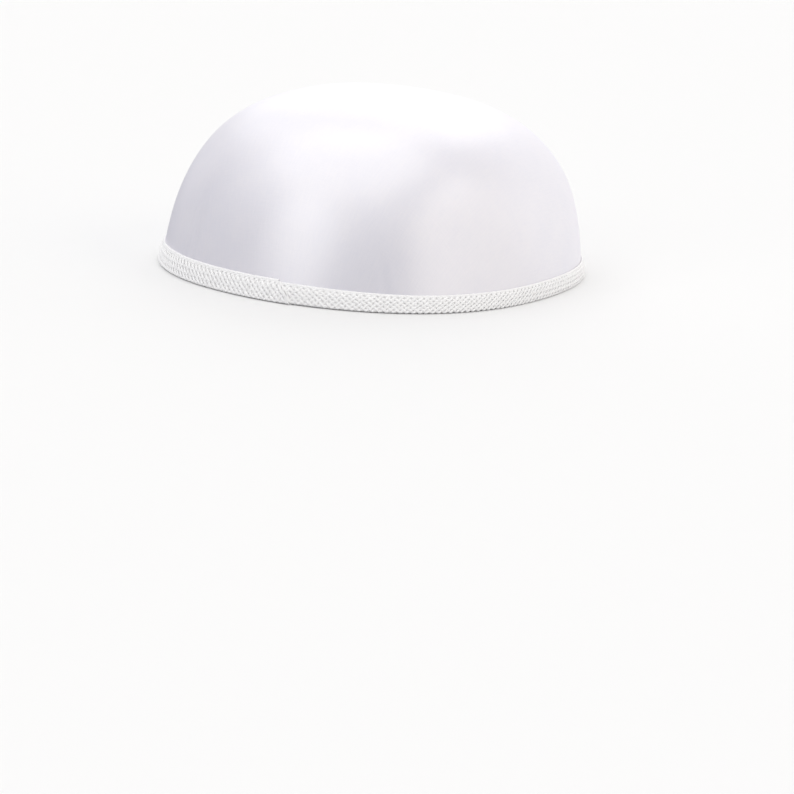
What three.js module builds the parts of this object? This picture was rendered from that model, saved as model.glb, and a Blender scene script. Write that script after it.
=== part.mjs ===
// A white satin skullcap: a one-piece blocked dome with a bias-woven binding folded over its rim.
// Millimetres, +Z up, the front towards -Y, the origin in the middle of the rim's underside.

import * as THREE from 'three';
import { mergeVertices } from 'three/addons/utils/BufferGeometryUtils.js';

// Crown: the outer face of the dome, measured where it would meet the resting plane
const CROWN_HALF_WIDTH = 85.6;
const CROWN_HALF_LENGTH = 97.7;
const CROWN_HEIGHT = 77.5;
const CROWN_WALL = 2;
const CROWN_BASE = 3; // height of the cut edge, hidden inside the binding
const DIAGONAL_SWELL = 0.045; // share by which the outline stands out from an oval between its axes
const BACK_SWELL = 0.029; // share by which the back is wider than the middle, and the front narrower

// Crown profile: a superellipse cut off a little above its equator
const RISE_POWER = 2.6;
const TAPER_POWER = 2.76;
const EQUATOR_CUT = 0.1; // share of the whole superellipse that lies below the rim
const FLARE = 0.011; // share by which the rim spreads
const FLARE_TOP = 0.4; // share of the height at which the spread has died out
const SWAY_BACK = 11; // how far the steep front wall carries the sections back
const TIP_FORWARD = 3.1; // how far forward of the rim's middle the tip lies

// Binding: a woven strip folded over the rim, its last stretch lapped over its start at the front
const JOIN_ANGLE = THREE.MathUtils.degToRad(-85);
const BINDING_GAP = 0.4; // clear of the crown wall, inside the fold
const BINDING_NARROW = 7.6; // height of the outer leg over most of its length
const BINDING_WIDE = 9.6; // height of the outer leg at the lapped end
const WIDEN_FROM = 180; // degrees of turn past the join
const WIDEN_TO = 335;
const LAP_THICKNESS = 0.8;
const LAP_FROM = 341; // degrees of turn past the join
const LAP_EDGE = 1.2; // degrees of turn that the end's step takes
const TUCK_LIFT = 1; // the outer leg's start is drawn up under the lap
const TUCK_TO = 38; // degrees of turn past the join
const BIAS_SLANT = THREE.MathUtils.degToRad(0.44); // turn of the cut end for each millimetre down

// The fold's section, up the outside and down the inside.
// out: distance from the crown's outer face; level: share of the leg's height; lift: millimetres above that
const BINDING_SECTION = [
  { out: 0.7, level: 0, lift: 0 },
  { out: 1.5, level: 0, lift: 0.5 },
  { out: 1.8, level: 0, lift: 1.8 },
  { out: 1.6, level: 0.6, lift: 0 },
  { out: 1.8, level: 0.9, lift: 0 },
  { out: 1.2, level: 1, lift: 0 },
  { out: BINDING_GAP, level: 0.97, lift: 0 },
  { out: BINDING_GAP, level: 0, lift: 1.6 },
  { out: -CROWN_WALL - BINDING_GAP, level: 0, lift: 1.6 },
  { out: -CROWN_WALL - BINDING_GAP, level: 0.92, lift: 0 },
  { out: -CROWN_WALL - 1.3, level: 0.95, lift: 0 },
  { out: -CROWN_WALL - 1.7, level: 0.8, lift: 0 },
  { out: -CROWN_WALL - 1.6, level: 0, lift: 1.8 },
  { out: -CROWN_WALL - 1.2, level: 0, lift: 0.5 },
  { out: -CROWN_WALL - 0.6, level: 0, lift: 0 },
];

// Facets
const CROWN_COLUMNS = 72;
const CROWN_ROWS = 13;
const BINDING_COLUMNS = 84;

const SATIN = new THREE.MeshStandardMaterial({ color: 0xeeecf2, roughness: 0.4, metalness: 0 });
const WOVEN_STRIP = new THREE.MeshStandardMaterial({ color: 0xf2f1ee, roughness: 0.8, metalness: 0 });

// Distance from the middle to the rim in one direction, the crown's wall drawn in by inset
function rimRadius(angle, inset) {
  const along = Math.sin(angle);
  const halfWidth = (CROWN_HALF_WIDTH - inset) * (1 + BACK_SWELL * along);
  const halfLength = CROWN_HALF_LENGTH - inset;
  const oval = 1 / Math.hypot(Math.cos(angle) / halfWidth, along / halfLength);
  return oval * (1 + DIAGONAL_SWELL * (1 - Math.cos(4 * angle)) / 2);
}

// Share of the rim's outline that is left at a share of the height
function taper(rise) {
  const whole = EQUATOR_CUT + (1 - EQUATOR_CUT) * rise;
  const round = Math.max(0, 1 - whole ** RISE_POWER) / (1 - EQUATOR_CUT ** RISE_POWER);
  const spread = Math.max(0, 1 - rise / FLARE_TOP) ** 2;
  return round ** (1 / TAPER_POWER) * (1 + FLARE * spread) / (1 + FLARE);
}

// How far a section of the crown lies behind the rim's middle
function sway(rise) {
  return SWAY_BACK * rise * (1 - rise) - TIP_FORWARD * rise;
}

// A point at a share of the height, on the crown's outer face or drawn in from it, pushed out level
function crownPoint(angle, rise, inset, out = 0) {
  const radius = rimRadius(angle, inset) * taper(rise) + out;
  return new THREE.Vector3(
    radius * Math.cos(angle),
    radius * Math.sin(angle) + sway(rise),
    rise * (CROWN_HEIGHT - inset),
  );
}

// A turned closed profile whose vertices are then laid where place(column, point) says
function shapedLathe(profile, columns, place) {
  const outline = profile.map((_, index) => new THREE.Vector2(1, index));
  const geometry = new THREE.LatheGeometry(outline, columns);
  const position = geometry.getAttribute('position');
  for (let column = 0; column <= columns; column++) {
    profile.forEach((point, index) => {
      const { x, y, z } = place(column % columns, point);
      position.setXYZ(column * profile.length + index, x, y, z);
    });
  }
  geometry.deleteAttribute('normal');
  geometry.deleteAttribute('uv');
  const closed = mergeVertices(geometry, 1e-4);
  closed.computeVertexNormals();
  return closed;
}

// Rises of the crown's rows from the cut edge to the tip, closer together where the dome bends over
function crownRises(inset) {
  const lowest = EQUATOR_CUT + (1 - EQUATOR_CUT) * CROWN_BASE / (CROWN_HEIGHT - inset);
  const start = Math.asin(lowest ** (RISE_POWER / 2));
  const rises = [];
  for (let row = 0; row <= CROWN_ROWS; row++) {
    const swing = THREE.MathUtils.lerp(start, Math.PI / 2, row / CROWN_ROWS);
    const whole = Math.sin(swing) ** (2 / RISE_POWER);
    rises.push((whole - EQUATOR_CUT) / (1 - EQUATOR_CUT));
  }
  return rises;
}

// The dome: down its inner face from the tip, across the cut edge and up its outer face
function makeCrown() {
  const inner = crownRises(CROWN_WALL).reverse().map((rise) => ({ rise, inset: CROWN_WALL }));
  const outer = crownRises(0).map((rise) => ({ rise, inset: 0 }));
  const geometry = shapedLathe([...inner, ...outer], CROWN_COLUMNS, (column, { rise, inset }) => {
    const angle = column / CROWN_COLUMNS * 2 * Math.PI;
    return crownPoint(angle, rise, inset);
  });
  const crown = new THREE.Mesh(geometry, SATIN);
  crown.name = 'crown';
  return crown;
}

// Degrees of turn past the join: the first column takes the end's step, the others share the rest
function turnOf(column) {
  if (column === 0) return 360;
  return THREE.MathUtils.lerp(LAP_EDGE, 360, (column - 1) / (BINDING_COLUMNS - 1));
}

// The binding: the folded section carried round the rim from the join
function makeBinding() {
  const closedSection = [...BINDING_SECTION, BINDING_SECTION[0]];
  const geometry = shapedLathe(closedSection, BINDING_COLUMNS, (column, { out, level, lift }) => {
    const turn = turnOf(column);
    const widened = THREE.MathUtils.smoothstep(turn, WIDEN_FROM, WIDEN_TO);
    const legHeight = THREE.MathUtils.lerp(BINDING_NARROW, BINDING_WIDE, widened);
    const lapped = THREE.MathUtils.smoothstep(turn, LAP_FROM, 360);
    const tucked = TUCK_LIFT * (1 - THREE.MathUtils.smoothstep(turn, LAP_EDGE, TUCK_TO));
    const height = level * legHeight + lift + (out > 0 ? tucked : 0);
    const angle = JOIN_ANGLE + THREE.MathUtils.degToRad(turn) - BIAS_SLANT * (height - legHeight / 2);
    const lapOut = out > BINDING_GAP ? LAP_THICKNESS * lapped : 0;
    return crownPoint(angle, height / CROWN_HEIGHT, 0, out + lapOut);
  });
  const binding = new THREE.Mesh(geometry, WOVEN_STRIP);
  binding.name = 'edge_binding';
  return binding;
}

const skullcap = new THREE.Group();
skullcap.add(makeCrown(), makeBinding());

export default skullcap;
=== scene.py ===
import math

import bpy
import numpy as np
from mathutils import Matrix, Vector


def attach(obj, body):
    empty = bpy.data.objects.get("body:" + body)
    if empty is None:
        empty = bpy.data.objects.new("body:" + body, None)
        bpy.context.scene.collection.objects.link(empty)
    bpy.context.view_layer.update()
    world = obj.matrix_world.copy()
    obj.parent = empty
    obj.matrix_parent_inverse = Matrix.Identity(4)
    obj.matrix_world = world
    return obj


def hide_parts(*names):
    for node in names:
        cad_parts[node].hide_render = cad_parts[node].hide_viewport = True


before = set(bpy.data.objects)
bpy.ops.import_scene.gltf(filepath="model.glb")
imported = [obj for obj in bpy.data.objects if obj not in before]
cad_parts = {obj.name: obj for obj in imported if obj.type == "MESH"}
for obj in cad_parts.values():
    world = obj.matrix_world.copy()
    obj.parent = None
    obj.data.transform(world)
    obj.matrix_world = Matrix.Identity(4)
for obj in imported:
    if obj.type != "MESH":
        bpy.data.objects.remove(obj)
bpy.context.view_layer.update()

MILLIMETRE = 0.001
BODY = "root"
rng = np.random.default_rng(7)

# Camera: where it stands round the cap, and where the origin falls in the picture
VIEW_AZIMUTH = math.radians(26)
VIEW_ELEVATION = math.radians(11.3)
VIEW_ROLL = math.radians(-4.08)
VIEW_DISTANCE = 1.6  # metres
PICTURE_PIXELS = 794
PIXEL_AT_ORIGIN = 0.000437  # metres across one pixel at the origin
ORIGIN_PIXEL = (370.8, 266.0)
SENSOR_WIDTH = 36

# Crown: a superellipse cut off a little above its equator, over a swollen oval
CROWN_HALF_WIDTH = 85.6
CROWN_HALF_LENGTH = 97.7
CROWN_HEIGHT = 77.5
CROWN_WALL = 2
CROWN_BASE = 3  # height of the cut edge, hidden inside the binding
DIAGONAL_SWELL = 0.045  # share by which the outline stands out from an oval between its axes
BACK_SWELL = 0.029  # share by which the back is wider than the middle, and the front narrower
RISE_POWER = 2.6
TAPER_POWER = 2.76
EQUATOR_CUT = 0.1  # share of the whole superellipse that lies below the rim
FLARE = 0.011  # share by which the rim spreads
FLARE_TOP = 0.4  # share of the height at which the spread has died out
SWAY_BACK = 11  # how far the steep front wall carries the sections back
TIP_FORWARD = 3.1  # how far forward of the rim's middle the tip lies
CROWN_COLUMNS = 448
OUTER_ROWS = 110
INNER_ROWS = 40

# Crown cloth: slow waves over the block, and faint creases that climb from the rim
WAVE_DEPTH = 0.16
WAVE_TOP = 0.92  # share of the height at which the waves have died out
WAVES = [
    {"round": 5, "bunching": 2, "lean": 6, "shift": 0, "share": 1},
    {"round": 9, "bunching": 0, "lean": -8, "shift": 1.3, "share": 0.7},
]
CREASE_WIDTH = 1.9
CREASE_START = (0.02, 0.14)  # shares of the height between which a crease sets in
CREASE_FADE = 0.2  # share of the height from which it fades towards its top
CREASES = [
    {"angle": math.radians(-119), "lean": 0.05, "top": 0.62, "depth": 0.62},
    {"angle": math.radians(-115), "lean": -0.04, "top": 0.5, "depth": 0.5},
    {"angle": math.radians(-59), "lean": -0.2, "top": 0.42, "depth": 0.18},
    {"angle": math.radians(70), "lean": 0.1, "top": 0.5, "depth": 0.22},
    {"angle": math.radians(148), "lean": -0.12, "top": 0.55, "depth": 0.22},
]

# Binding
JOIN_ANGLE = math.radians(-85)
BINDING_NARROW = 7.6  # height of the outer leg over most of its length
BINDING_WIDE = 9.6  # height of the outer leg at the lapped end
WIDEN_FROM = 180  # degrees of turn past the join
WIDEN_TO = 335
LAP_THICKNESS = 0.8
LAP_FROM = 341  # degrees of turn past the join
LAP_TOP_SHARE = 0.35  # share of the lap's step that is left at its upper edge
TUCK_LIFT = 1  # how far the outer leg's start is drawn up under the lap
TUCK_TO = 38  # degrees of turn past the join
TUCK_LENGTH = 10  # how far the strip's start goes on under the lap
TUCK_UNDER = 0.3  # how far it is drawn in there
TUCK_UNDER_BY = 3  # degrees of turn that this takes
TUCK_SETTLING = 0.9  # share by which the fold under the tucked start settles on the floor
CUT_SLANT = 0.75  # run of the cut end for each millimetre down
RIM_MARGIN = 20  # degrees of turn by which the rim is measured past each end
RIM_SAMPLES = 3201

# Fold of the strip's middle surface: down the outside, under the rim, up the inside
STRIP_OUT = 1.1
STRIP_IN = -3.05
OUTER_FROM = -1  # distance out at which the lap and the tuck of the outer side set in
NORMAL_REACH = 0.05  # step over which the strip's slope is measured
FOLD_RADIUS = 0.5
FOLD_LEVEL = 0.72
LEG_TOP_DROP = 0.6
INNER_LEG_SHARE = 0.9
LEAN_IN = 0.58  # how far each upper edge is drawn in to the crown
LEAN_ROWS = 2.2
EDGE_RADIUS = 0.52
EDGE_BULGE = 0.07  # share by which a rolled edge swells with the threads
EDGE_COLUMNS = 1600
EDGE_SIDES = 10
GROUND_FACE = 0.08  # how far the ground behind the threads lies from the middle surface
GROUND_BACK = 0.4
GROUND_ROWS = 36
GROUND_COLUMNS = 720

# Weave: rows of crossings on each stretch of the fold, and the pitch along the rim between two threads
STRETCHED_PITCH = 2.8
LOOSE_PITCH = 2.45
LOOSE_FROM = 300  # degrees of turn past the join
LOOSE_TO = 350
LEG_WEAVE_ROWS = 6.4
CURVE_WEAVE_ROWS = 1
UNDER_WEAVE_ROWS = 2.6
WEAVE_ROWS = 2 * LEG_WEAVE_ROWS + 2 * CURVE_WEAVE_ROWS + UNDER_WEAVE_ROWS
SAMPLES_PER_ROW = 4
THREAD_SIDES = 6
THREAD_HALF_WIDTH = 0.57
THREAD_HALF_THICKNESS = 0.38
THREAD_WAVE = 0.25
WAVE_WIDENING = 0.1  # share by which a thread widens where it comes out over another
PITCH_SCATTER = 0.025
WIDTH_SHARES = (0.9, 1.1)
END_OVERHANGS = (-0.3, 0.4)  # how far a thread goes past the cut
FEWEST_SAMPLES = 4  # shorter threads are left out
UPPER_RAISE = 0.14  # how far one family stands out over the other where it lies uppermost
UPPER_WIDENING = 0.14
EVEN_TURN = math.radians(30)  # turn past the join at which neither family lies uppermost
UPPER_SWING = 1.2  # how fast one family gives way to the other
UPPER_ROWS = 2  # rows from each edge over which the two families come level

# Frayed end: threads ravelled along the cut
RAVELLED_THREADS = [
    {"past_cut": -0.5, "raised": 0.5, "thickness": 0.3, "last_row": 7.2},
    {"past_cut": 0.1, "raised": 0.35, "thickness": 0.34, "last_row": 7.5},
    {"past_cut": 0.65, "raised": 0.15, "thickness": 0.26, "last_row": 7.0},
    {"past_cut": 1.05, "raised": -0.35, "thickness": 0.34, "last_row": 6.8},
]
RAVELLED_FIRST_ROW = 0.3
RAVELLED_SAMPLES = 40
WANDER = 0.18  # how far a ravelled thread strays along the rim
WANDER_RATE = 1.3
WANDER_STAGGER = 9
HEAVE = 0.12  # how far it rises and sinks
HEAVE_RATE = 2.1
THINNING = 0.6  # share by which it thins to its end
THINNING_ROWS = 1.2

# Frayed end: loose fibres that stand out from the cut
FIBRE_COUNT = 26
FIBRE_ROWS = (2.0, 7.2)
FIBRE_LAST_ROW = 7.5
FIBRE_LENGTHS = (0.7, 2.0)
FIBRE_SLANTS = (-0.5, 0.9)
FIBRE_ROOT = 0.4  # how far before the cut a fibre leaves the strip
FIBRE_BASE = 0.3
FIBRE_HEIGHTS = (0.1, 0.6)
FIBRE_ARCHES = (0.5, 0.9)
FIBRE_THICKNESSES = (0.08, 0.14)
FIBRE_THINNING = 0.7
FIBRE_SAMPLES = 9
FIBRE_SIDES = 5

# Cloth colours: each material drifts between a dull and a bright one
SATIN_COLOURS = ((0.762, 0.744, 0.822), (0.81, 0.784, 0.842))
SATIN_BACK_COLOURS = ((0.79, 0.775, 0.815), (0.82, 0.805, 0.83))
THREAD_COLOURS = ((0.957, 0.951, 0.953), (0.986, 0.981, 0.983))
# The ground behind the threads is coloured darker than the threads, as painted shade in the gaps between
# them.
GROUND_PAINTED_SHADE_COLOURS = ((0.838, 0.831, 0.832), (0.898, 0.891, 0.892))
DRIFT_STOPS = (0.35, 0.65)  # shares at which the two colours are reached

# Floor
FLOOR_COLOUR = (0.84, 0.84, 0.84)
FLOOR_RADIUS = 6000
FLOOR_SIDES = 96
FLOOR_DROP = 0.05  # clear of the rim

# Light from all round
WORLD_COLOUR = (0.88, 0.915, 1.0)
WORLD_STRENGTH = 0.36

# Soft lights: name, degrees round and above the floor, degrees across, strength, colour
LIGHTS = [
    ("key", -104, 23, 34, 0.31, (1, 0.985, 0.95)),
    ("top", -112, 76, 72, 0.82, (1, 0.98, 0.94)),
    ("top_wide", -90, 78, 118, 0.74, (1, 0.98, 0.94)),
    ("right", 12, 6, 86, 1.12, (1, 0.935, 0.83)),
    ("right_high", 32, 56, 36, 0.04, (1, 0.96, 0.9)),
    ("back", 92, 8, 78, 1.0, (1, 0.985, 0.96)),
    ("back_high", 122, 46, 64, 0.46, (1, 0.985, 0.96)),
    ("left_back", 148, 22, 48, 0.18, (1, 0.985, 0.96)),
    ("left", -160, 36, 52, 0.12, (0.98, 0.97, 1)),
]


def smoothstep(value, low, high):
    share = np.clip((value - low) / (high - low), 0, 1)
    return share * share * (3 - 2 * share)


def unit(vectors):
    return vectors / np.linalg.norm(vectors, axis=-1, keepdims=True)


# Shape of the crown

def rim_radius(angle, inset):
    along = np.sin(angle)
    half_width = (CROWN_HALF_WIDTH - inset) * (1 + BACK_SWELL * along)
    half_length = CROWN_HALF_LENGTH - inset
    oval = 1 / np.hypot(np.cos(angle) / half_width, along / half_length)
    return oval * (1 + DIAGONAL_SWELL * (1 - np.cos(4 * angle)) / 2)


def taper(rise):
    whole = EQUATOR_CUT + (1 - EQUATOR_CUT) * rise
    left = np.maximum(0, 1 - whole ** RISE_POWER) / (1 - EQUATOR_CUT ** RISE_POWER)
    spread = np.maximum(0, 1 - rise / FLARE_TOP) ** 2
    return left ** (1 / TAPER_POWER) * (1 + FLARE * spread) / (1 + FLARE)


def crown_point(angle, rise, inset=0.0, out=0.0):
    radius = rim_radius(angle, inset) * taper(rise) + out
    sway = SWAY_BACK * rise * (1 - rise) - TIP_FORWARD * rise
    x = radius * np.cos(angle)
    y = radius * np.sin(angle) + sway
    z = rise * (CROWN_HEIGHT - inset)
    return np.stack(np.broadcast_arrays(x, y, z), axis=-1)


def crown_rises(inset, rows):
    lowest = EQUATOR_CUT + (1 - EQUATOR_CUT) * CROWN_BASE / (CROWN_HEIGHT - inset)
    swing = np.linspace(math.asin(lowest ** (RISE_POWER / 2)), math.pi / 2, rows + 1)
    return (np.sin(swing) ** (2 / RISE_POWER) - EQUATOR_CUT) / (1 - EQUATOR_CUT)


def unevenness(angle, rise):
    """How far the outer face stands out of the plain dome, in slow waves and faint creases."""
    waves = 0
    for wave in WAVES:
        bunched = wave["bunching"] * np.cos(2 * angle)
        phase = wave["round"] * angle + bunched + wave["lean"] * rise + wave["shift"]
        waves = waves + wave["share"] * np.sin(phase)
    out = WAVE_DEPTH * waves * np.sin(math.pi * np.clip(rise / WAVE_TOP, 0, 1))
    for crease in CREASES:
        middle = crease["angle"] + crease["lean"] * rise
        off = np.angle(np.exp(1j * (angle - middle))) * rim_radius(angle, 0) / CREASE_WIDTH
        fade = smoothstep(rise, *CREASE_START) * (1 - smoothstep(rise, CREASE_FADE, crease["top"]))
        out = out - crease["depth"] * (1 - off ** 2) * np.exp(-off ** 2 / 2) * fade
    return out


# Making meshes

def add_object(name, points, faces, materials):
    mesh = bpy.data.meshes.new(name)
    mesh.from_pydata((np.asarray(points) * MILLIMETRE).tolist(), [], faces)
    mesh.update()
    mesh.polygons.foreach_set("use_smooth", [True] * len(mesh.polygons))
    for material in materials:
        mesh.materials.append(material)
    made = bpy.data.objects.new(name, mesh)
    bpy.context.scene.collection.objects.link(made)
    return made


def grid_faces(rows, columns, first, wrap):
    """Quads of a grid of points, whose edges run first along a row and then to the next row."""
    column = np.arange(columns if wrap else columns - 1)
    ahead = (column + 1) % columns
    row = first + np.arange(rows - 1)[:, None] * columns
    corners = [row + column, row + ahead, row + columns + ahead, row + columns + column]
    return np.stack(corners, axis=-1).reshape(-1, 4)


class Pile:
    """Points and faces of many shapes that become one mesh."""

    def __init__(self):
        self.points = []
        self.faces = []
        self.count = 0

    def add(self, points, faces):
        self.points.append(points)
        self.faces.extend([[corner + self.count for corner in face] for face in faces])
        self.count += len(points)

    def make(self, name, materials):
        return add_object(name, np.concatenate(self.points), self.faces, materials)


def add_tube(pile, path, normals, half_width, half_thickness, sides):
    """A closed tube along a path, half_width across its normals and half_thickness along them."""
    tangents = np.gradient(path, axis=0)
    across = unit(np.cross(normals, tangents))
    raised = unit(np.cross(tangents, across))
    turn = np.arange(sides) * 2 * math.pi / sides
    wide = np.asarray(half_width)[..., None] * np.cos(turn)
    thick = np.asarray(half_thickness)[..., None] * np.sin(turn)
    shape = (len(path), sides, 1)
    wide = np.broadcast_to(wide, shape[:2]).reshape(shape)
    thick = np.broadcast_to(thick, shape[:2]).reshape(shape)
    rings = path[:, None] + across[:, None] * wide + raised[:, None] * thick
    faces = grid_faces(len(path), sides, 0, wrap=True).tolist()
    last = (len(path) - 1) * sides
    faces.append(list(range(sides))[::-1])
    faces.append(list(range(last, last + sides)))
    pile.add(rings.reshape(-1, 3), faces)


def add_slab(pile, face, back):
    """A closed sheet between two grids of points, its face on the side of the product down x along."""
    rows, columns = face.shape[:2]
    half = rows * columns
    down_first = grid_faces(rows, columns, 0, wrap=False)[:, ::-1]
    faces = down_first.tolist() + (down_first[:, ::-1] + half).tolist()
    index = np.arange(half).reshape(rows, columns)
    border = np.concatenate([index[0, :-1], index[:-1, -1], index[-1, :0:-1], index[:0:-1, 0]])
    ahead = np.roll(border, -1)
    faces += np.stack([border, ahead, ahead + half, border + half], axis=-1).tolist()
    pile.add(np.concatenate([face.reshape(-1, 3), back.reshape(-1, 3)]), faces)


# Materials

def add_node(tree, kind, inputs=(), **settings):
    made = tree.nodes.new(kind)
    for name, value in settings.items():
        setattr(made, name, value)
    for name, value in dict(inputs).items():
        if isinstance(value, bpy.types.NodeSocket):
            tree.links.new(value, made.inputs[name])
        else:
            made.inputs[name].default_value = value
    return made


def new_material(name, **shader):
    material = bpy.data.materials.new(name)
    material.use_nodes = True
    tree = material.node_tree
    principled = tree.nodes["Principled BSDF"]
    for socket, value in shader.items():
        principled.inputs[socket.replace("_", " ")].default_value = value
    return material, tree, principled


def add_noise(tree, vector, scale, detail=2.0, stretch=None):
    """Noise at a scale in cycles a metre, or stretched along each axis."""
    if stretch:
        mapping = add_node(tree, "ShaderNodeMapping", {"Vector": vector, "Scale": stretch})
        vector = mapping.outputs["Vector"]
    made = add_node(tree, "ShaderNodeTexNoise", {"Vector": vector, "Scale": scale, "Detail": detail})
    return made.outputs["Fac"]


def add_weave(tree, grain, along, across):
    """Noise drawn out with the warp and with the weft, in cycles a metre along and across the threads."""
    warp = add_noise(tree, grain, 1.0, stretch=(along, across, 1))
    weft = add_noise(tree, grain, 1.0, stretch=(across, along, 1))
    return warp, weft


def add_mottle(tree, principled, share, colours):
    """Body colour that drifts between two colours with a share."""
    ramp = add_node(tree, "ShaderNodeValToRGB", {"Fac": share})
    for stop, place, colour in zip(ramp.color_ramp.elements, DRIFT_STOPS, colours):
        stop.position = place
        stop.color = (*colour, 1)
    tree.links.new(ramp.outputs["Color"], principled.inputs["Base Color"])


def add_sum(tree, parts):
    """The sum of some values, each with its weight."""
    total = 0.0
    for value, weight in parts:
        inputs = {0: value, 1: weight, 2: total}
        total = add_node(tree, "ShaderNodeMath", inputs, operation="MULTIPLY_ADD").outputs["Value"]
    return total


def add_bump(tree, principled, height, strength, depth):
    bump = add_node(tree, "ShaderNodeBump", {"Height": height, "Strength": strength, "Distance": depth})
    tree.links.new(bump.outputs["Normal"], principled.inputs["Normal"])


def make_satin():
    material, tree, principled = new_material("satin_face", Roughness=0.36, IOR=3.4, Anisotropic=0.3)
    grain = add_node(tree, "ShaderNodeUVMap", uv_map="grain").outputs["UV"]
    tangent = add_node(tree, "ShaderNodeTangent", direction_type="UV_MAP", uv_map="grain")
    tree.links.new(tangent.outputs["Tangent"], principled.inputs["Tangent"])
    warp, weft = add_weave(tree, grain, along=160, across=1300)
    blotches = add_noise(tree, grain, scale=55.0)
    share = add_sum(tree, [(blotches, 0.4), (warp, 0.4), (weft, 0.2)])
    add_mottle(tree, principled, share, SATIN_COLOURS)
    height = add_sum(tree, [(warp, 1.0), (weft, 0.5)])
    add_bump(tree, principled, height, strength=0.15, depth=0.0003)
    return material


def make_satin_back():
    material, tree, principled = new_material("satin_inside", Roughness=0.75)
    grain = add_node(tree, "ShaderNodeUVMap", uv_map="grain").outputs["UV"]
    add_mottle(tree, principled, add_noise(tree, grain, scale=70.0), SATIN_BACK_COLOURS)
    warp, weft = add_weave(tree, grain, along=60, across=1100)
    height = add_sum(tree, [(warp, 1.0), (weft, 1.0)])
    add_bump(tree, principled, height, strength=0.35, depth=0.0003)
    return material


def make_thread(name, colours):
    material, tree, principled = new_material(name, Roughness=0.62, Sheen_Weight=0.3)
    place = add_node(tree, "ShaderNodeTexCoord").outputs["Object"]
    add_mottle(tree, principled, add_noise(tree, place, scale=420.0, detail=3.0), colours)
    add_bump(tree, principled, add_noise(tree, place, scale=2500.0), strength=0.3, depth=0.0001)
    return material


# The crown

def make_crown(face_material, back_material):
    angles = np.arange(CROWN_COLUMNS) * 2 * math.pi / CROWN_COLUMNS
    outer_rises = crown_rises(0, OUTER_ROWS)[:, None]
    inner_rises = crown_rises(CROWN_WALL, INNER_ROWS)[:, None]
    outer = crown_point(angles, outer_rises[:-1], 0.0, unevenness(angles, outer_rises[:-1]))
    inner = crown_point(angles, inner_rises[:-1], CROWN_WALL)
    outer_tip = crown_point(np.zeros(1), outer_rises[-1])
    inner_tip = crown_point(np.zeros(1), inner_rises[-1], CROWN_WALL)
    points = np.concatenate([outer.reshape(-1, 3), inner.reshape(-1, 3), outer_tip, inner_tip])
    outer_count = outer.shape[0] * CROWN_COLUMNS
    inner_count = inner.shape[0] * CROWN_COLUMNS
    column = np.arange(CROWN_COLUMNS)
    ahead = (column + 1) % CROWN_COLUMNS
    faces = grid_faces(outer.shape[0], CROWN_COLUMNS, 0, wrap=True).tolist()
    last = outer_count - CROWN_COLUMNS
    tip = np.full(CROWN_COLUMNS, outer_count + inner_count)
    faces += np.stack([last + column, last + ahead, tip], axis=-1).tolist()
    face_count = len(faces)
    faces += grid_faces(inner.shape[0], CROWN_COLUMNS, outer_count, wrap=True)[:, ::-1].tolist()
    last = outer_count + inner_count - CROWN_COLUMNS
    faces += np.stack([last + ahead, last + column, tip + 1], axis=-1).tolist()
    faces += np.stack([column, outer_count + column, outer_count + ahead, ahead], axis=-1).tolist()
    crown = add_object("satin_crown", points, faces, [face_material, back_material])
    sides = np.zeros(len(faces), dtype=np.int32)
    sides[face_count:] = 1
    crown.data.polygons.foreach_set("material_index", sides)
    add_grain(crown, outer, inner, angles)
    return crown


def add_grain(crown, outer, inner, angles):
    """Texture coordinates in metres with the cloth's threads, front to back and side to side."""
    laid = []
    for grid in (outer, inner):
        steps = np.linalg.norm(np.diff(grid, axis=0), axis=-1)
        from_rim = np.concatenate([np.zeros((1, CROWN_COLUMNS)), np.cumsum(steps, axis=0)])
        from_tip = from_rim[-1] - from_rim
        flat = np.stack([from_tip * np.sin(angles), from_tip * np.cos(angles)], axis=-1)
        laid.append(flat.reshape(-1, 2))
    laid.append(np.zeros((2, 2)))
    coordinates = np.concatenate(laid) * MILLIMETRE
    corners = np.zeros(len(crown.data.loops), dtype=np.int32)
    crown.data.loops.foreach_get("vertex_index", corners)
    layer = crown.data.uv_layers.new(name="grain")
    layer.data.foreach_set("uv", coordinates[corners].astype(np.float32).ravel())


# The binding

def weave_pitch(turn):
    loose = smoothstep(np.degrees(turn), LOOSE_FROM, LOOSE_TO)
    return STRETCHED_PITCH + (LOOSE_PITCH - STRETCHED_PITCH) * loose


RIM_TURNS = np.radians(np.linspace(-RIM_MARGIN, 360 + RIM_MARGIN, RIM_SAMPLES))
RIM_STEPS = np.linalg.norm(np.diff(crown_point(JOIN_ANGLE + RIM_TURNS, 0.0), axis=0), axis=-1)
RIM_RUNS = np.concatenate([[0], np.cumsum(RIM_STEPS)])
RIM_RUNS -= np.interp(0, RIM_TURNS, RIM_RUNS)
RIM_LENGTH = np.interp(2 * math.pi, RIM_TURNS, RIM_RUNS)
RIM_THREADS = np.concatenate([[0], np.cumsum(RIM_STEPS / weave_pitch(RIM_TURNS[1:]))])
RIM_THREADS -= np.interp(0, RIM_TURNS, RIM_THREADS)
THREAD_COUNT = int(np.interp(2 * math.pi, RIM_TURNS, RIM_THREADS))


def turn_at(run):
    return np.interp(run, RIM_RUNS, RIM_TURNS)


def leg_height(turn):
    widened = smoothstep(np.degrees(turn), WIDEN_FROM, WIDEN_TO)
    return BINDING_NARROW + (BINDING_WIDE - BINDING_NARROW) * widened


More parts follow.
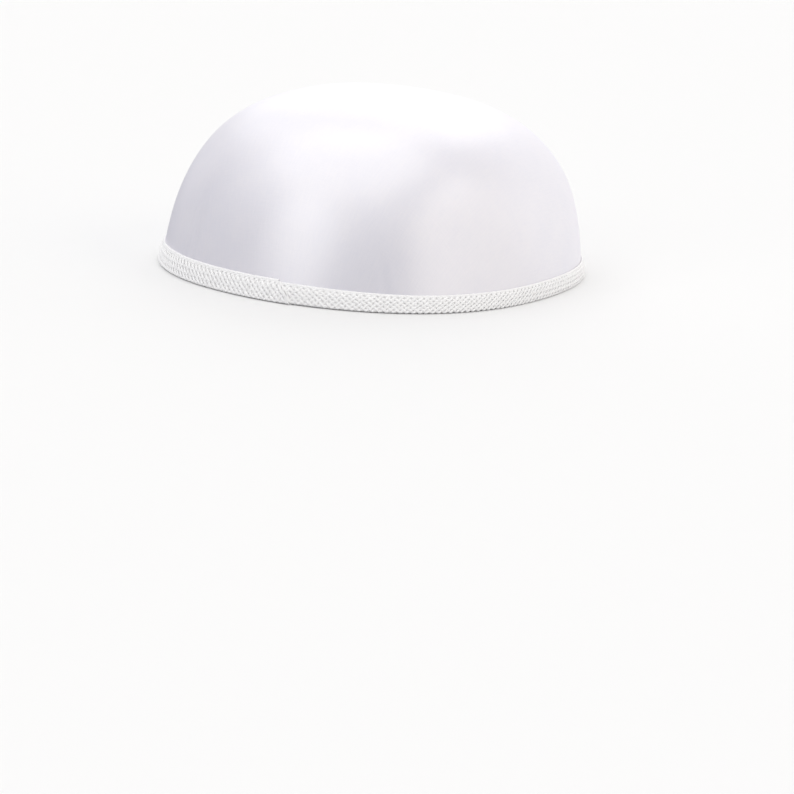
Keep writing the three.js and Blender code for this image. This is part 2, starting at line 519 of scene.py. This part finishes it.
def fold(row, leg):
    """Distance out and height of the strip's middle surface, at a row counted from its outer edge."""
    turned = row - LEG_WEAVE_ROWS
    outside = np.clip(row / LEG_WEAVE_ROWS, 0, 1)
    first = np.clip(turned / CURVE_WEAVE_ROWS, 0, 1) * math.pi / 2
    under = np.clip((turned - CURVE_WEAVE_ROWS) / UNDER_WEAVE_ROWS, 0, 1)
    past_under = turned - CURVE_WEAVE_ROWS - UNDER_WEAVE_ROWS
    second = np.clip(past_under / CURVE_WEAVE_ROWS, 0, 1) * math.pi / 2
    inside = np.clip((row - WEAVE_ROWS + LEG_WEAVE_ROWS) / LEG_WEAVE_ROWS, 0, 1)
    across = STRIP_OUT - STRIP_IN - 2 * FOLD_RADIUS
    out = STRIP_OUT - FOLD_RADIUS * (1 - np.cos(first)) - across * under - FOLD_RADIUS * np.sin(second)
    out = out - LEAN_IN * (1 - smoothstep(row, 0, LEAN_ROWS))
    out = out + LEAN_IN * smoothstep(row, WEAVE_ROWS - LEAN_ROWS, WEAVE_ROWS)
    curve_top = FOLD_LEVEL + FOLD_RADIUS
    drop = (leg - LEG_TOP_DROP - curve_top) * outside
    climb = (leg * INNER_LEG_SHARE - curve_top) * inside
    height = leg - LEG_TOP_DROP - drop - FOLD_RADIUS * np.sin(first)
    return out, height + FOLD_RADIUS * (1 - np.cos(second)) + climb


def strip_point(run, row):
    turn = turn_at(run)
    degrees = np.degrees(turn)
    out, height = fold(row, leg_height(turn))
    outer_side = smoothstep(out, OUTER_FROM, STRIP_OUT - LEAN_IN)
    top_share = LAP_TOP_SHARE + (1 - LAP_TOP_SHARE) * smoothstep(row, 0, LEAN_ROWS)
    lap = LAP_THICKNESS * smoothstep(degrees, LAP_FROM, 360) * outer_side * top_share
    under = TUCK_UNDER * smoothstep(-degrees, 0, TUCK_UNDER_BY) * outer_side
    settled = 1 - TUCK_SETTLING * smoothstep(row, LEG_WEAVE_ROWS / 2, LEG_WEAVE_ROWS + CURVE_WEAVE_ROWS)
    tuck = TUCK_LIFT * (1 - smoothstep(degrees, 0, TUCK_TO)) * outer_side * settled
    return crown_point(JOIN_ANGLE + turn, (height + tuck) / CROWN_HEIGHT, 0.0, out + lap - under)


def strip_normal(run, row):
    along = strip_point(run + NORMAL_REACH, row) - strip_point(run - NORMAL_REACH, row)
    below = np.minimum(row + NORMAL_REACH, WEAVE_ROWS)
    above = np.maximum(row - NORMAL_REACH, 0)
    down = strip_point(run, below) - strip_point(run, above)
    return unit(np.cross(down, along))


def cut_run(row):
    """How far the strip's slanted cut end lies past the join."""
    height = fold(row, BINDING_WIDE)[1]
    return CUT_SLANT * (BINDING_WIDE / 2 - height)


def make_tape(ground, material):
    """The strip's ground behind its threads, and its two rolled edges."""
    rows = np.linspace(0, WEAVE_ROWS, GROUND_ROWS + 1)[:, None]
    share = np.linspace(0, 1, GROUND_COLUMNS + 1)
    start = cut_run(rows) - TUCK_LENGTH
    end = RIM_LENGTH + cut_run(rows)
    runs = start + (end - start) * share
    rows = np.broadcast_to(rows, runs.shape)
    middle = strip_point(runs, rows)
    normal = strip_normal(runs, rows)
    pile = Pile()
    # This sheet behind the threads takes the ground material, whose darker colour is painted shade in the
    # gaps.
    add_slab(pile, middle - GROUND_FACE * normal, middle - GROUND_BACK * normal)
    ground_faces = len(pile.faces)
    for row in (0, WEAVE_ROWS):
        begin = cut_run(row) - TUCK_LENGTH
        run = np.linspace(begin, RIM_LENGTH + cut_run(row), EDGE_COLUMNS + 1)
        threads = np.interp(run, RIM_RUNS, RIM_THREADS)
        radius = EDGE_RADIUS * (1 + EDGE_BULGE * np.cos(4 * math.pi * threads))
        path = strip_point(run, np.full_like(run, row))
        normals = strip_normal(run, np.full_like(run, row))
        add_tube(pile, path, normals, radius, radius, EDGE_SIDES)
    tape = pile.make("binding_tape", [ground, material])
    kinds = np.ones(len(pile.faces), dtype=np.int32)
    kinds[:ground_faces] = 0
    tape.data.polygons.foreach_set("material_index", kinds)
    return tape


def uppermost(run, row):
    """How far the falling threads lie over the rising ones, from -1 to 1."""
    from_edge = np.minimum(row, WEAVE_ROWS - row)
    swing = np.clip(UPPER_SWING * np.sin(EVEN_TURN - turn_at(run)), -1, 1)
    return swing * smoothstep(from_edge, 0, UPPER_ROWS)


def make_threads(name, lean, material):
    """One family of threads: lean is 1 if they fall with the run and -1 if they fall against it."""
    rows = np.linspace(0, WEAVE_ROWS, int(WEAVE_ROWS * SAMPLES_PER_ROW) + 1)
    spread = math.ceil(WEAVE_ROWS / 2)
    first = -spread if lean > 0 else 0
    under = math.ceil(TUCK_LENGTH / STRETCHED_PITCH)
    pile = Pile()
    for number in range(first - under, THREAD_COUNT + spread + first + 2):
        shift = rng.normal(0, PITCH_SCATTER)
        width = THREAD_HALF_WIDTH * rng.uniform(*WIDTH_SHARES)
        overhang = rng.uniform(*END_OVERHANGS)
        runs = np.interp(number + shift + lean * rows / 2, RIM_THREADS, RIM_RUNS)
        from_cut = runs - cut_run(rows)
        inside = (from_cut > -TUCK_LENGTH) & (from_cut < RIM_LENGTH + overhang)
        if inside.sum() < FEWEST_SAMPLES:
            continue
        run = runs[inside]
        row = rows[inside]
        normals = strip_normal(run, row)
        wave = lean * np.cos(math.pi * row)
        upper = lean * uppermost(run, row)
        path = strip_point(run, row) + normals * (THREAD_WAVE * wave + UPPER_RAISE * upper)[:, None]
        widths = width * (1 + WAVE_WIDENING * wave + UPPER_WIDENING * upper)
        add_tube(pile, path, normals, widths, THREAD_HALF_THICKNESS, THREAD_SIDES)
    return pile.make(name, [material])


def make_frayed_end(material):
    """The last threads, ravelled along the cut, and loose fibres that stand out from it."""
    pile = Pile()
    for ravelled in RAVELLED_THREADS:
        past_cut = ravelled["past_cut"]
        last_row = ravelled["last_row"]
        row = np.linspace(RAVELLED_FIRST_ROW, last_row, RAVELLED_SAMPLES)
        wander = WANDER * np.sin(WANDER_RATE * row + WANDER_STAGGER * past_cut)
        run = RIM_LENGTH + cut_run(row) + past_cut + wander
        raised = ravelled["raised"] + HEAVE * np.cos(HEAVE_RATE * row + past_cut)
        thinned = THINNING * smoothstep(row, last_row - THINNING_ROWS, last_row)
        add_strand(pile, run, row, raised, ravelled["thickness"] * (1 - thinned), THREAD_SIDES)
    share = np.linspace(0, 1, FIBRE_SAMPLES)
    for _ in range(FIBRE_COUNT):
        first_row = rng.uniform(*FIBRE_ROWS)
        length = rng.uniform(*FIBRE_LENGTHS)
        row = np.clip(first_row + share * length * rng.uniform(*FIBRE_SLANTS), 0, FIBRE_LAST_ROW)
        run = RIM_LENGTH + cut_run(first_row) - FIBRE_ROOT + share * length
        height = rng.uniform(*FIBRE_HEIGHTS)
        raised = FIBRE_BASE + height * np.sin(share * math.pi * rng.uniform(*FIBRE_ARCHES))
        thickness = rng.uniform(*FIBRE_THICKNESSES) * (1 - FIBRE_THINNING * share)
        add_strand(pile, run, row, raised, thickness, FIBRE_SIDES)
    return pile.make("binding_frayed_end", [material])


def add_strand(pile, run, row, raised, thickness, sides):
    """A round strand raised over the strip, and kept above the floor."""
    normals = strip_normal(run, row)
    path = strip_point(run, row) + normals * raised[:, None]
    path[:, 2] = np.maximum(path[:, 2], thickness)
    add_tube(pile, path, normals, thickness, thickness, sides)


# The stage

def make_camera():
    azimuth, elevation, roll = VIEW_AZIMUTH, VIEW_ELEVATION, VIEW_ROLL
    level = math.cos(elevation)
    towards = Vector((math.sin(azimuth) * level, -math.cos(azimuth) * level, math.sin(elevation)))
    right = Vector((math.cos(azimuth), math.sin(azimuth), 0))
    up = towards.cross(right)
    rolled_right = right * math.cos(roll) - up * math.sin(roll)
    rolled_up = right * math.sin(roll) + up * math.cos(roll)
    place = towards * VIEW_DISTANCE
    middle = PICTURE_PIXELS / 2
    aim = rolled_right * (middle - ORIGIN_PIXEL[0]) * PIXEL_AT_ORIGIN
    aim += rolled_up * (ORIGIN_PIXEL[1] - middle) * PIXEL_AT_ORIGIN
    back = (place - aim).normalized()
    side = (rolled_right - back * rolled_right.dot(back)).normalized()
    top = back.cross(side)
    data = bpy.data.cameras.new("camera")
    data.sensor_width = SENSOR_WIDTH
    data.lens = SENSOR_WIDTH * VIEW_DISTANCE / (PIXEL_AT_ORIGIN * PICTURE_PIXELS)
    camera = bpy.data.objects.new("camera", data)
    turned = Matrix((side, top, back)).transposed().to_4x4()
    camera.matrix_world = Matrix.Translation(place) @ turned
    bpy.context.scene.collection.objects.link(camera)
    bpy.context.scene.camera = camera


def add_light(name, azimuth, elevation, spread, strength, colour):
    """A soft light that shines from an azimuth and elevation, both in degrees, over the whole floor."""
    data = bpy.data.lights.new(name, "SUN")
    data.angle = math.radians(spread)
    data.energy = strength
    data.color = colour
    light = bpy.data.objects.new(name, data)
    turn, lift = math.radians(azimuth), math.radians(elevation)
    towards = Vector((math.cos(turn) * math.cos(lift), math.sin(turn) * math.cos(lift), math.sin(lift)))
    light.rotation_euler = towards.to_track_quat("Z", "Y").to_euler()
    bpy.context.scene.collection.objects.link(light)


def make_world():
    world = bpy.data.worlds.new("studio")
    world.use_nodes = True
    background = world.node_tree.nodes["Background"]
    background.inputs["Color"].default_value = (*WORLD_COLOUR, 1)
    background.inputs["Strength"].default_value = WORLD_STRENGTH
    bpy.context.scene.world = world


def make_floor():
    material = new_material("floor", Roughness=0.9, Base_Color=(*FLOOR_COLOUR, 1))[0]
    turn = np.arange(FLOOR_SIDES) * 2 * math.pi / FLOOR_SIDES
    height = np.full(FLOOR_SIDES, -FLOOR_DROP)
    points = np.stack([FLOOR_RADIUS * np.cos(turn), FLOOR_RADIUS * np.sin(turn), height], axis=-1)
    floor = add_object("floor", points, [list(range(FLOOR_SIDES))], [material])
    floor.visible_glossy = False


make_camera()
make_world()
make_floor()
for light in LIGHTS:
    add_light(*light)
bpy.context.scene.view_settings.view_transform = "Standard"

satin = make_satin()
satin_back = make_satin_back()
thread = make_thread("binding_thread", THREAD_COLOURS)
# Painted shade: the ground behind the threads is coloured darker than the threads, so the gaps between
# them read grey.
ground = make_thread("binding_ground_painted_shade", GROUND_PAINTED_SHADE_COLOURS)
crown = make_crown(satin, satin_back)
tape = make_tape(ground, thread)
falling = make_threads("binding_threads_falling", 1, thread)
rising = make_threads("binding_threads_rising", -1, thread)
frayed_end = make_frayed_end(thread)

for piece in (crown, tape, falling, rising, frayed_end):
    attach(piece, BODY)
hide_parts("crown")
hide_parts("edge_binding")
